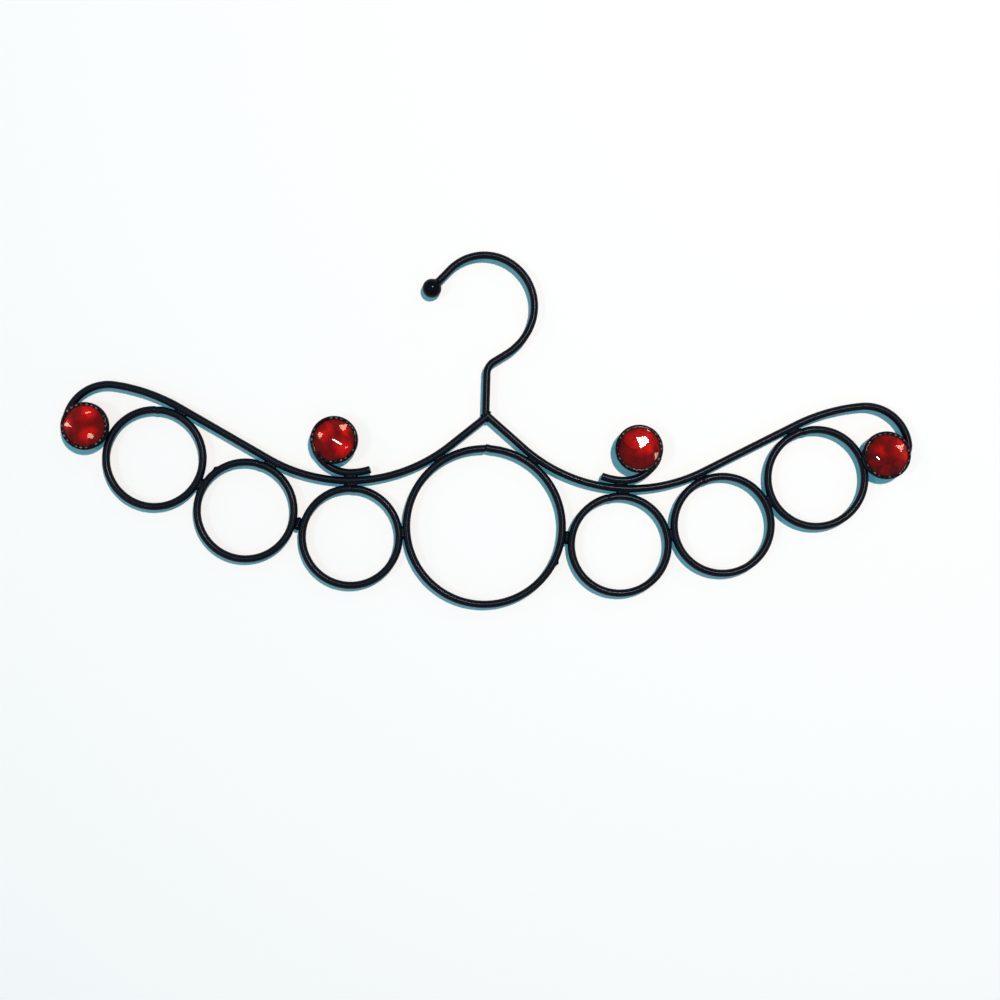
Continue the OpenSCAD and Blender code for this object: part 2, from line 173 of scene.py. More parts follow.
world = bpy.data.worlds.new("studio")
scene.world = world
world.use_nodes = True
tree = world.node_tree
fill = tree.nodes["Background"]
fill.inputs["Color"].default_value = fill_colour
backdrop = add(tree, "ShaderNodeBackground")
backdrop.inputs["Color"].default_value = backdrop_colour
ray = add(tree, "ShaderNodeLightPath")
seen = add(tree, "ShaderNodeMath", operation="MAXIMUM")
seen_or_through = add(tree, "ShaderNodeMath", operation="MAXIMUM")
choose = add(tree, "ShaderNodeMixShader")
tree.links.new(ray.outputs["Is Camera Ray"], seen.inputs[0])
tree.links.new(ray.outputs["Is Glossy Ray"], seen.inputs[1])
tree.links.new(seen.outputs[0], seen_or_through.inputs[0])
tree.links.new(ray.outputs["Is Transmission Ray"], seen_or_through.inputs[1])
tree.links.new(seen_or_through.outputs[0], choose.inputs[0])
tree.links.new(fill.outputs[0], choose.inputs[1])
tree.links.new(backdrop.outputs[0], choose.inputs[2])
tree.links.new(choose.outputs[0], tree.nodes["World Output"].inputs["Surface"])
print("world has", len(tree.nodes), "nodes")

# %% [markdown]
# The key is a small lamp about a metre in front of the hanger, above and to the right, so it draws a
# thin bright line along the wires. Its strength doesn't fall with distance, so that the sheet is
# evenly bright. A larger and much weaker lamp on the left gives faint shadows on the right of the
# cups. Three very weak suns stand for far windows: they add almost no light, but a flat facet that
# faces halfway between a window and the camera flashes.

# %% Near lamps
lamp_power = 30


def near_lamp(name, place, radius, strength, colour):
    data = bpy.data.lights.new(name, "POINT")
    data.energy = lamp_power
    data.shadow_soft_size = radius
    data.color = colour
    data.use_nodes = True
    tree = data.node_tree
    falloff = add(tree, "ShaderNodeLightFalloff")
    falloff.inputs["Strength"].default_value = strength
    tree.links.new(falloff.outputs["Constant"], tree.nodes["Emission"].inputs["Strength"])
    lamp = bpy.data.objects.new(name, data)
    lamp.location = place
    scene.collection.objects.link(lamp)


key_place = Vector((0.235, -1.10, 0.19))
second_place = Vector((-0.60, -0.85, -0.20))
near_lamp("key", key_place, radius=0.032, strength=1.31, colour=(0.97, 0.85, 0.77))
near_lamp("second", second_place, radius=0.06, strength=0.10, colour=(0.65, 0.86, 0.86))
print("key lamp at", [round(v, 2) for v in key_place], "m")

# %% Windows
window_strength = 0.05
window_width = math.radians(2.2)
window_colour = (1.0, 0.8, 0.55)


def window(name, comes_from):
    data = bpy.data.lights.new(name, "SUN")
    data.energy = window_strength
    data.angle = window_width
    data.color = window_colour
    lamp = bpy.data.objects.new(name, data)
    lamp.rotation_mode = "QUATERNION"
    lamp.rotation_quaternion = (-Vector(comes_from)).to_track_quat("-Z", "Y")
    scene.collection.objects.link(lamp)
    return Vector(comes_from).normalized()


window_way = {
    "left": window("left_window", (-0.82, -0.48, 0.30)),
    "high": window("high_window", (0.55, -0.50, 0.67)),
    "low": window("low_window", (0.35, -0.83, -0.42)),
}


def way_to_light(light, place):
    return (key_place - place).normalized() if light == "key" else window_way[light]


print("windows:", list(window_way))

# %% [markdown]
# ## Finishes
#
# The wire is dipped in gloss black enamel. Dipped paint isn't flat: it has a slow ripple, a few fine
# specks of dust, and it wears thin and dull where hangers rub. Fine noise gives the ripple as a
# bump, and a coarser one changes the roughness from place to place. The ripple could be modelled,
# but in the finish it costs no faces. Along the wires the paint was drawn out while it dried, so
# their highlight stretches that way: the sweep keeps the wire's direction in an attribute, and the
# finish reads it as its tangent.

# %% Enamel
def enamel(name, base, ripple, gloss, wear_more, shine):
    material, tree, shader, _ = new_material(name)
    place = add(tree, "ShaderNodeTexCoord")
    slow = add(tree, "ShaderNodeTexNoise")
    slow.inputs["Scale"].default_value = 420
    slow.inputs["Detail"].default_value = 3
    specks = add(tree, "ShaderNodeTexVoronoi")
    specks.inputs["Scale"].default_value = 900
    speck_edge = add(tree, "ShaderNodeMapRange")
    speck_edge.inputs["From Min"].default_value = 0.0
    speck_edge.inputs["From Max"].default_value = 0.09
    speck_edge.inputs["To Min"].default_value = 1.0
    speck_edge.inputs["To Max"].default_value = 0.0
    wear = add(tree, "ShaderNodeTexNoise")
    wear.inputs["Scale"].default_value = 60
    wear.inputs["Detail"].default_value = 6
    wear_range = add(tree, "ShaderNodeMapRange")
    wear_range.inputs["From Min"].default_value = 0.35
    wear_range.inputs["From Max"].default_value = 0.75
    wear_range.inputs["To Min"].default_value = gloss
    wear_range.inputs["To Max"].default_value = gloss + wear_more
    tone = add(tree, "ShaderNodeMix", data_type="RGBA")
    tone.inputs["A"].default_value = (*base, 1)
    tone.inputs["B"].default_value = (base[0] * 2.2, base[1] * 2.1, base[2] * 2.0, 1)
    height = add(tree, "ShaderNodeMath", operation="MULTIPLY_ADD")
    height.inputs[1].default_value = 0.25
    bump = add(tree, "ShaderNodeBump")
    bump.inputs["Strength"].default_value = ripple
    bump.inputs["Distance"].default_value = 0.00006
    links = tree.links
    for node in (slow, specks, wear):
        links.new(place.outputs["Object"], node.inputs["Vector"])
    links.new(specks.outputs["Distance"], speck_edge.inputs["Value"])
    links.new(wear.outputs["Fac"], wear_range.inputs["Value"])
    links.new(wear_range.outputs["Result"], shader.inputs["Roughness"])
    links.new(wear.outputs["Fac"], tone.inputs["Factor"])
    links.new(tone.outputs["Result"], shader.inputs["Base Color"])
    links.new(speck_edge.outputs["Result"], height.inputs[0])
    links.new(slow.outputs["Fac"], height.inputs[2])
    links.new(height.outputs["Value"], bump.inputs["Height"])
    links.new(bump.outputs["Normal"], shader.inputs["Normal"])
    shader.inputs["Specular IOR Level"].default_value = shine
    shader.inputs["Specular Tint"].default_value = (0.78, 0.94, 1.0, 1)
    return material


wire_enamel = enamel(
    "wire_enamel", (0.0001, 0.0008, 0.004), ripple=0.2, gloss=0.19, wear_more=0.06, shine=0.13)
weld_enamel = enamel(
    "weld_enamel", (0.0002, 0.001, 0.0035), ripple=0.6, gloss=0.16, wear_more=0.16, shine=0.06)
cup_enamel = enamel(
    "cup_enamel", (0.0003, 0.001, 0.003), ripple=0.35, gloss=0.12, wear_more=0.16, shine=0.1)
ball_enamel = enamel(
    "ball_enamel", (0.0002, 0.001, 0.003), ripple=0.15, gloss=0.1, wear_more=0.16, shine=0.075)

# %% Drawn out along the wire
tree = wire_enamel.node_tree
shader = tree.nodes["Principled BSDF"]
shader.inputs["Anisotropic"].default_value = 1.0
way = add(tree, "ShaderNodeAttribute", attribute_name="wire_way")
tree.links.new(way.outputs["Vector"], shader.inputs["Tangent"])
print("enamels:", wire_enamel.name, weld_enamel.name, cup_enamel.name)

# %% [markdown]
# ## Wires
#
# Every long piece is one wire bent on a jig, so its middle line is a row of straight lengths and
# arcs. A short walk along those steps gives the points of a curve, and a geometry node tree sweeps a
# round section along it. A curve's own bevel would make a tube too, but the tree can also store the
# wire's direction for the finish. The section shrinks a little at a cut end, where paint rounds it.

# %% Walk along a bent wire
point_spacing = 0.6 * mm


def walk(steps, x, z, heading):
    points = [(x, z)]
    for step in steps:
        length = step[0] if len(step) == 1 else step[0] * abs(math.radians(step[1]))
        count = max(2, round(length / point_spacing))
        turn = 0 if len(step) == 1 else math.radians(step[1])
        for _ in range(count):
            chord = length / count
            heading += turn / count / 2
            x += chord * math.cos(heading)
            z += chord * math.sin(heading)
            heading += turn / count / 2
            points.append((x, z))
    return points, heading


# %% [markdown]
# The three trees of this lesson start and end alike. Each takes a geometry, its own sizes and a
# finish. Each ends by shading smooth, making its instances real and setting the finish. Two helpers
# write those parts.

# %% Tree helpers
def input_of(tree, name):
    sockets = tree.interface.items_tree
    return next(s.identifier for s in sockets if s.name == name and s.in_out == "INPUT")


def new_tree(name, sizes):
    tree = bpy.data.node_groups.new(name, "GeometryNodeTree")
    face = tree.interface
    face.new_socket("Geometry", in_out="INPUT", socket_type="NodeSocketGeometry")
    for label, kind in sizes.items():
        face.new_socket(label, in_out="INPUT", socket_type="NodeSocket" + kind)
    face.new_socket("Finish", in_out="INPUT", socket_type="NodeSocketMaterial")
    face.new_socket("Geometry", in_out="OUTPUT", socket_type="NodeSocketGeometry")
    return tree, add(tree, "NodeGroupInput")


def close_tree(tree, start, geometry):
    smooth = add(tree, "GeometryNodeSetShadeSmooth")
    realize = add(tree, "GeometryNodeRealizeInstances")
    finish = add(tree, "GeometryNodeSetMaterial")
    end = add(tree, "NodeGroupOutput")
    links = tree.links
    links.new(geometry, smooth.inputs["Geometry"])
    links.new(smooth.outputs["Geometry"], realize.inputs["Geometry"])
    links.new(realize.outputs["Geometry"], finish.inputs["Geometry"])
    links.new(start.outputs["Finish"], finish.inputs["Material"])
    links.new(finish.outputs["Geometry"], end.inputs["Geometry"])
    print(tree.name, "has the inputs", [s.name for s in start.outputs if s.name])


# %% Sweep tree
def sweep_tree():
    tree, start = new_tree("sweep_wire", {"Wire radius": "Float", "Section sides": "Int"})
    section = add(tree, "GeometryNodeCurvePrimitiveCircle")
    taper = add(tree, "GeometryNodeInputRadius")
    way = add(tree, "GeometryNodeInputTangent")
    keep_way = add(
        tree, "GeometryNodeStoreNamedAttribute", data_type="FLOAT_VECTOR", domain="POINT")
    keep_way.inputs["Name"].default_value = "wire_way"
    sweep = add(tree, "GeometryNodeCurveToMesh")
    sweep.inputs["Fill Caps"].default_value = True
    links = tree.links
    links.new(start.outputs["Wire radius"], section.inputs["Radius"])
    links.new(start.outputs["Section sides"], section.inputs["Resolution"])
    links.new(start.outputs["Geometry"], keep_way.inputs["Geometry"])
    links.new(way.outputs["Tangent"], keep_way.inputs["Value"])
    links.new(keep_way.outputs["Geometry"], sweep.inputs["Curve"])
    links.new(section.outputs["Curve"], sweep.inputs["Profile Curve"])
    links.new(taper.outputs["Radius"], sweep.inputs["Scale"])
    close_tree(tree, start, sweep.outputs["Mesh"])
    return tree


wire_sweep = sweep_tree()

# %% Plain mesh from a tree
def settle(obj, tree, **inputs):
    modifier = obj.modifiers.new("shape", "NODES")
    modifier.node_group = tree
    for name, value in inputs.items():
        modifier[input_of(tree, name.replace("_", " "))] = value
    bpy.context.view_layer.update()
    graph = bpy.context.evaluated_depsgraph_get()
    mesh = bpy.data.meshes.new_from_object(obj.evaluated_get(graph))
    name = obj.name
    bpy.data.objects.remove(obj)
    piece = bpy.data.objects.new(name, mesh)
    scene.collection.objects.link(piece)
    return piece


def dress(piece, slot, *nodes):
    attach(piece, "root")
    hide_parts(*nodes)


# %% Curve from points
wire_sides = 32
end_inset = 0.12 * mm
end_radii = (0.9, 0.975)


def wire_curve(name, points, square_start=False):
    data = bpy.data.curves.new(name, "CURVE")
    data.dimensions = "3D"
    spline = data.splines.new("POLY")
    spline.points.add(len(points) - 1)
    for point, (x, z) in zip(spline.points, points):
        point.co = (x, 0, z, 1)
        point.radius = 1
    for i, share in enumerate(end_radii):
        spline.points[-1 - i].radius = share
        if not square_start:
            spline.points[i].radius = share
    obj = bpy.data.objects.new(name, data)
    scene.collection.objects.link(obj)
    return obj


def blunt_ends(points, start=True):
    (x0, z0), (x1, z1) = points[-2], points[-1]
    step = math.hypot(x1 - x0, z1 - z0)
    way = ((x1 - x0) / step, (z1 - z0) / step)
    points = points[:-1] + [(x1 - way[0] * end_inset, z1 - way[1] * end_inset), (x1, z1)]
    if start:
        points = blunt_ends(points[::-1], False)[::-1]
    return points


def swept(curve):
    return settle(
        curve, wire_sweep, Wire_radius=wire_r, Section_sides=wire_sides, Finish=wire_enamel)


def bent_wire(name, steps, x, z, heading, square_start=False):
    points, _ = walk(steps, x, z, heading)
    points = blunt_ends(points, not square_start)
    return swept(wire_curve(name, points, square_start=square_start))


# %% [markdown]
# Each ring is a wire whose two ends meet at a seam. A torus would be simpler, but it has no seam.
# The ends don't meet quite flush, so one end of a ring stands a little in or out over its last few
# millimetres. A drip of paint has dried on the outside of two of the rings.

# %% Rings
seam_gap = 0.3 * mm
seam_fade = 3 * mm
ring_nodes = [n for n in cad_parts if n.endswith("_ring")]
seam_angle = {
    "centre_ring": 91,
    "left_inner_ring": 90, "left_middle_ring": 76, "left_outer_ring": 90,
    "right_inner_ring": 105, "right_middle_ring": 115, "right_outer_ring": 108,
}
seam_step = {node: 0.45 * mm if node == "centre_ring" else -0.22 * mm for node in ring_nodes}
drips = {"centre_ring": -25, "left_middle_ring": 127}
drip_reach = 0.9 * mm
drip_height = 0.75 * mm


def ring_points(node):
    centre = middle(node)
    radius = width(node) / 2 - wire_r
    length = 2 * math.pi * radius - seam_gap
    count = round(length / point_spacing)
    points = []
    for i in range(count + 1):
        along = length * i / count
        angle = math.radians(seam_angle[node]) + (seam_gap / 2 + along) / radius
        near_end = max(0, 1 - (length - along) / seam_fade)
        reach = radius + seam_step[node] * near_end ** 2 * (3 - 2 * near_end)
        points.append((centre.x + reach * math.cos(angle), centre.z + reach * math.sin(angle)))
    return points


def add_drip(piece, node):
    centre = middle(node)
    radius = width(node) / 2
    angle = math.radians(drips[node])
    spot = centre + radius * Vector((math.cos(angle), 0, math.sin(angle)))
    for vert in piece.data.vertices:
        near = math.exp(-((vert.co - spot).length / drip_reach) ** 2)
        vert.co += (spot - centre).normalized() * drip_height * near


for node in ring_nodes:
    ring = swept(wire_curve(node + "_wire", blunt_ends(ring_points(node))))
    if node in drips:
        add_drip(ring, node)
    dress(ring, "black_paint", node)
    print(node, round(width(node) / mm, 1), "mm across,", len(ring.data.polygons), "faces")

# %% [markdown]
# An arm leaves the peak downwards, sags, climbs, turns over its shoulder and ends in a tight curl.
# Both arms are one shape, mirrored. Each starts a little before the peak and is cut there by the
# upright plane between the two, which gives the mitre of the real joint.

# %% Arms
arm_steps = [
    (22.5 * mm,),
    (76.2 * mm, 68.3),
    (48.5 * mm,),
    (86.5 * mm, -21.4),
    (20.4 * mm, -87),
    (8 * mm, -150),
]
arm_fall = math.radians(40)
peak_stock = 3.6 * mm
wire_path = {}


def mirrored(steps):
    return [step if len(step) == 1 else (step[0], -step[1]) for step in steps]


def cut_at_peak(piece, side):
    mesh = bmesh.new()
    mesh.from_mesh(piece.data)
    cut = bmesh.ops.bisect_plane(
        mesh, geom=mesh.verts[:] + mesh.edges[:] + mesh.faces[:], plane_co=peak,
        plane_no=(-side, 0, 0), clear_outer=True,
    )
    edges = [e for e in cut["geom_cut"] if isinstance(e, bmesh.types.BMEdge)]
    bmesh.ops.edgeloop_fill(mesh, edges=edges)
    mesh.to_mesh(piece.data)
    mesh.free()


for side, name in ((-1, "left_arm"), (1, "right_arm")):
    steps = arm_steps if side > 0 else mirrored(arm_steps)
    heading = -arm_fall if side > 0 else math.pi + arm_fall
    start_x = peak.x - peak_stock * math.cos(heading)
    start_z = peak.z - peak_stock * math.sin(heading)
    steps = [(steps[0][0] + peak_stock,)] + steps[1:]
    wire_path[name] = walk(steps, start_x, start_z, heading)[0]
    arm = bent_wire(name + "_wire", steps, start_x, start_z, heading, square_start=True)
    cut_at_peak(arm, side)
    dress(arm, "black_paint", name)
    print(name, len(arm.data.polygons), "faces")

# %% [markdown]
# The hook is a shank that stands on the peak, a short bend to the right, and a wide loop that comes
# back over the shank. Its loop isn't one circle: it tightens towards the top.

# %% Hook
hook_steps = [
    (18.9 * mm,),
    (6.9 * mm, -57),
    (7 * mm,),
    (27.9 * mm, 36),
    (24.2 * mm, 91),
    (22.5 * mm, 67.5),
    (10.7 * mm,),
]
shank_offset = -0.9 * mm
hook_start = (peak.x + shank_offset, peak.z + wire_r / 2, math.radians(90))
hook = bent_wire("hook_bend", hook_steps, *hook_start, square_start=True)
dress(hook, "black_paint", "hook_wire")
print("hook", len(hook.data.polygons), "faces")

# %% [markdown]
# ## Inner scrolls
#
# Two short scrolls stand on the arms. Each is a wire of the same thickness with a square cut tail, a
# wide bend that touches the arm where it is welded, and a tight curl that carries a cup. It is
# walked and swept as the arms are.

# %% Inner scrolls
scroll_steps = [(30 * mm, 18), (18 * mm, 62), (8 * mm, 150)]
tail_from_ring = Vector((54.439 * mm, 0, 25.365 * mm))
tail_heading = math.radians(-20.03)

for side, name in ((-1, "left_inner_scroll"), (1, "right_inner_scroll")):
    steps = scroll_steps if side > 0 else mirrored(scroll_steps)
    heading = tail_heading if side > 0 else math.pi - tail_heading
    start = middle("centre_ring") + Vector((side * tail_from_ring.x, 0, tail_from_ring.z))
    points, _ = walk(steps, start.x, start.z, heading)
    wire_path[name] = points
    scroll = bent_wire(name + "_wire", steps, start.x, start.z, heading)
    dress(scroll, "black_paint", name)
    print(name, len(scroll.data.polygons), "faces")

# %% [markdown]
# Each wire drawn here should fill the same box as its solid in the frame, so the boxes are compared.
# The numbers are the differences in mm at the low and the high end of each axis.

# %% Compare with the frame
def compare(piece, node):
    low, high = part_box(node)
    points = [v.co for v in bpy.data.objects[piece].data.vertices]
    for axis in (0, 2):
        values = [p[axis] for p in points]
        off = (min(values) - low[axis], max(values) - high[axis])
        print(piece, "xz"[axis // 2], [round(v / mm, 2) for v in off])


for name in wire_path:
    compare(name + "_wire", name)
compare("hook_bend", "hook_wire")

# %% [markdown]
# ## Ball
#
# The hook's wire ends in a ball, so that it can't scratch. A ball and a cup are both round about an
# axis, so one helper turns a profile about any axis, as a lathe does. The ball's profile runs into a
# small fillet of paint where the wire enters it.

# %% Lathe
def lathe(name, profile, centre, axis, segments, material):
    turn_to_axis = Vector((0, 0, 1)).rotation_difference(axis).to_matrix()
    mesh = bmesh.new()
    rows = []
    for along, radius in profile:
        if radius == 0:
            rows.append([mesh.verts.new(centre + turn_to_axis @ Vector((0, 0, along)))])
            continue
        row = []
        for i in range(segments):
            angle = 2 * math.pi * i / segments
            spoke = Vector((radius * math.cos(angle), radius * math.sin(angle), along))
            row.append(mesh.verts.new(centre + turn_to_axis @ spoke))
        rows.append(row)
    for one, two in zip(rows, rows[1:]):
        for i in range(segments):
            j = (i + 1) % segments
            corners = [one[i % len(one)], one[j % len(one)], two[j % len(two)], two[i % len(two)]]
            mesh.faces.new(list(dict.fromkeys(corners)))
    bmesh.ops.recalc_face_normals(mesh, faces=mesh.faces[:])
    for face in mesh.faces:
        face.smooth = True
    data = bpy.data.meshes.new(name)
    mesh.to_mesh(data)
    mesh.free()
    data.materials.append(material)
    piece = bpy.data.objects.new(name, data)
    scene.collection.objects.link(piece)
    return piece


# %% Ball
ball_r = 4.5 * mm
ball_wall = 1.5 * mm
neck_angle = 148
angle_step = 6
ball_sides = 48
neck = [
    (-3.98, 2.20), (-4.15, 2.05), (-4.35, 1.95), (-4.6, 1.87), (-4.8, 1.81), (-4.8, 1.5), (-4.8, 0),
]

hook_points, hook_heading = walk(hook_steps, *hook_start)
tip_way = Vector((math.cos(hook_heading), 0, math.sin(hook_heading)))
ball_centre = Vector((hook_points[-1][0], 0, hook_points[-1][1])) + ball_wall * tip_way
ball_profile = [(ball_r, 0)]
for degrees in range(angle_step, neck_angle + 1, angle_step):
    angle = math.radians(degrees)
    ball_profile.append((ball_r * math.cos(angle), ball_r * math.sin(angle)))
ball_profile += [(along * mm, radius * mm) for along, radius in neck]
ball = lathe("ball_tip", ball_profile, ball_centre, tip_way, ball_sides, ball_enamel)
dress(ball, "black_paint", "hook_ball")
ball_off = ball_centre - middle("hook_ball")
print("ball is off its node by", [round(v / mm, 2) for v in ball_off], "mm")

# %% [markdown]
# ## Welds
#
# Every touch between two wires is a weld. A weld bead is a small sausage of metal that fills the
# valley between the wires, a little lumpy, with fine ripples from the torch. Each bead is a short
# curve whose own radius swells and ripples along its length. One geometry node tree sweeps a round
# section along all the beads of a node and pushes the surface in and out with noise, so that no two
# beads are alike.

# %% Bead tree
def bead_tree():
    sizes = {"Bead radius": "Float", "Lump height": "Float", "Lumps per metre": "Float"}
    tree, start = new_tree("weld_bead", sizes)
    section = add(tree, "GeometryNodeCurvePrimitiveCircle")
    section.inputs["Resolution"].default_value = 20
    swell = add(tree, "GeometryNodeInputRadius")
    sweep = add(tree, "GeometryNodeCurveToMesh")
    sweep.inputs["Fill Caps"].default_value = True
    lumps = add(tree, "ShaderNodeTexNoise")
    centred = add(tree, "ShaderNodeMath", operation="SUBTRACT")
    centred.inputs[1].default_value = 0.5
    height = add(tree, "ShaderNodeMath", operation="MULTIPLY")
    outwards = add(tree, "GeometryNodeInputNormal")
    push = add(tree, "ShaderNodeVectorMath", operation="SCALE")
    move = add(tree, "GeometryNodeSetPosition")
    links = tree.links
    links.new(start.outputs["Bead radius"], section.inputs["Radius"])
    links.new(start.outputs["Geometry"], sweep.inputs["Curve"])
    links.new(section.outputs["Curve"], sweep.inputs["Profile Curve"])
    links.new(swell.outputs["Radius"], sweep.inputs["Scale"])
    links.new(start.outputs["Lumps per metre"], lumps.inputs["Scale"])
    links.new(lumps.outputs["Fac"], centred.inputs[0])
    links.new(centred.outputs["Value"], height.inputs[0])
    links.new(start.outputs["Lump height"], height.inputs[1])
    links.new(outwards.outputs["Normal"], push.inputs[0])
    links.new(height.outputs["Value"], push.inputs["Scale"])
    links.new(sweep.outputs["Mesh"], move.inputs["Geometry"])
    links.new(push.outputs["Vector"], move.inputs["Offset"])
    close_tree(tree, start, move.outputs["Geometry"])
    return tree


weld_bead = bead_tree()

# %% Beads as curves
bead_spacing = 0.25 * mm
ripple_pitch = 1.1 * mm
ripple_share = 0.05
lumps_per_metre = 900.0


def bead_curve(name, beads):
    data = bpy.data.curves.new(name, "CURVE")
    data.dimensions = "3D"
    for centre, way, length in beads:
        count = max(8, round(length / bead_spacing))
        spline = data.splines.new("POLY")
        spline.points.add(count)
        for i, point in enumerate(spline.points):
            share = 2 * i / count - 1
            along = share * length / 2
            point.co = (*(centre + along * way), 1)
            ripple = 1 + ripple_share * math.sin(2 * math.pi * along / ripple_pitch)
            point.radius = ripple * max(0.15, math.sqrt(1 - abs(share) ** 4))
    obj = bpy.data.objects.new(name, data)
    scene.collection.objects.link(obj)
    return obj


def weld(name, node, beads, radius=1.5 * mm, lump=0.25 * mm):
    piece = settle(
        bead_curve(name, beads), weld_bead, Bead_radius=radius, Lump_height=lump,
        Lumps_per_metre=lumps_per_metre, Finish=weld_enamel,
    )
    dress(piece, "weld_paint", node)
    print(name, len(beads), "beads,", len(piece.data.polygons), "faces")


# %% Welds between wires
weld_length = 6.4 * mm
scroll_lean = math.radians(2.03)


def between(one, two):
    way = (two - one).normalized()
    return ((one + two) / 2, Vector((-way.z, 0, way.x)), weld_length)


def touch_arm(side, ring):
    centre = middle(ring)
    path = [Vector((x, 0, z)) for x, z in wire_path[side + "_arm"]]
    on_arm = min(path, key=lambda place: (place - centre).length)
    reach = width(ring) / 2 - wire_r
    return between(on_arm, centre + reach * (on_arm - centre).normalized())


def touch_ring(one, two):
    way = (middle(two) - middle(one)).normalized()
    end_one = middle(one) + (width(one) / 2 - wire_r) * way
    end_two = middle(two) - (width(two) / 2 - wire_r) * way
    return between(end_one, end_two)


for side in ("left", "right"):
    row = ["centre_ring"]
    row += [side + place + "_ring" for place in ("_inner", "_middle", "_outer")]
    weld(side + "_arm_beads", side + "_arm_welds", [touch_arm(side, ring) for ring in row])
    pairs = zip(row, row[1:])
    weld(side + "_row_beads", side + "_row_welds", [touch_ring(one, two) for one, two in pairs])
    bead_middle = middle(side + "_scroll_weld")
    bead_middle.y = 0
    lean = -scroll_lean if side == "right" else scroll_lean
    way = Vector((math.cos(lean), 0, math.sin(lean)))
    weld(side + "_scroll_bead", side + "_scroll_weld", [(bead_middle, way, weld_length)])

# %% [markdown]
# The peak has a blob in each of its three corners, where the shank meets the two arms. The cups are
# held on their curls by one bead each, on the back. Each ring is closed by a small seam that was
# ground nearly flush.

# %% Peak and cup welds
rise = wire_r / math.cos(arm_fall)
depth_way = Vector((0, 1, 0))
corner_length = 3.0 * mm
corner_places = [
    (shank_offset - wire_r, rise - (wire_r - shank_offset) * math.tan(arm_fall)),
    (shank_offset + wire_r, rise - (wire_r + shank_offset) * math.tan(arm_fall)),
    (0, -rise),
]
corner_beads = [(peak + Vector((x, 0, z)), depth_way, corner_length) for x, z in corner_places]
weld("peak_beads", "peak_weld", corner_beads, radius=0.7 * mm, lump=0.12 * mm)

curl_r, curl_bend = arm_steps[-1]
curl_points = round(curl_r * math.radians(-curl_bend) / point_spacing)
half_curl = round(curl_points / 2)
cup_bead_r = 1.2 * mm
cup_bead_forwards = 0.9 * mm
cup_bead_inwards = 1.5 * mm


def curl_side(points):
    one, two, three = (Vector(points[i]) for i in (-9, -5, -1))
    return 1 if (two - one).cross(three - two) > 0 else -1


def curl_bead(points):
    place = points[-1 - half_curl]
    before = points[-2 - half_curl]
    way = Vector((place[0] - before[0], 0, place[1] - before[1])).normalized()
    inwards = curl_side(points) * Vector((-way.z, 0, way.x))
    spot = Vector((place[0], -cup_bead_forwards, place[1])) + cup_bead_inwards * inwards
    return (spot, way, weld_length)


for side in ("left", "right"):
    beads = [curl_bead(wire_path[side + "_arm"]), curl_bead(wire_path[side + "_inner_scroll"])]
    weld(side + "_cup_beads", side + "_cup_welds", beads, radius=cup_bead_r)

# %% Ring seams
seam_length = 1.5 * mm
seam_inset = 0.12 * mm
seam_beads = []
for node in ring_nodes:
    angle = math.radians(seam_angle[node])
    spoke = Vector((math.cos(angle), 0, math.sin(angle)))
    reach = width(node) / 2 - wire_r + seam_step[node] / 2
    seam_beads.append((middle(node) + reach * spoke, Vector((-spoke.z, 0, spoke.x)), seam_length))
weld("ring_seam_beads", "ring_seams", seam_beads, radius=wire_r - seam_inset, lump=0.12 * mm)

# %% [markdown]
# ## Cups
#
# A cup is pressed from thin sheet: a flat floor, an upright wall and a lip that leans in over the
# stone. Its edge is crimped down in 26 slanted folds. The shell is turned on the lathe. The folds
# are all alike, so a geometry node tree bends one from a curve and sets it round the lip 26 times.

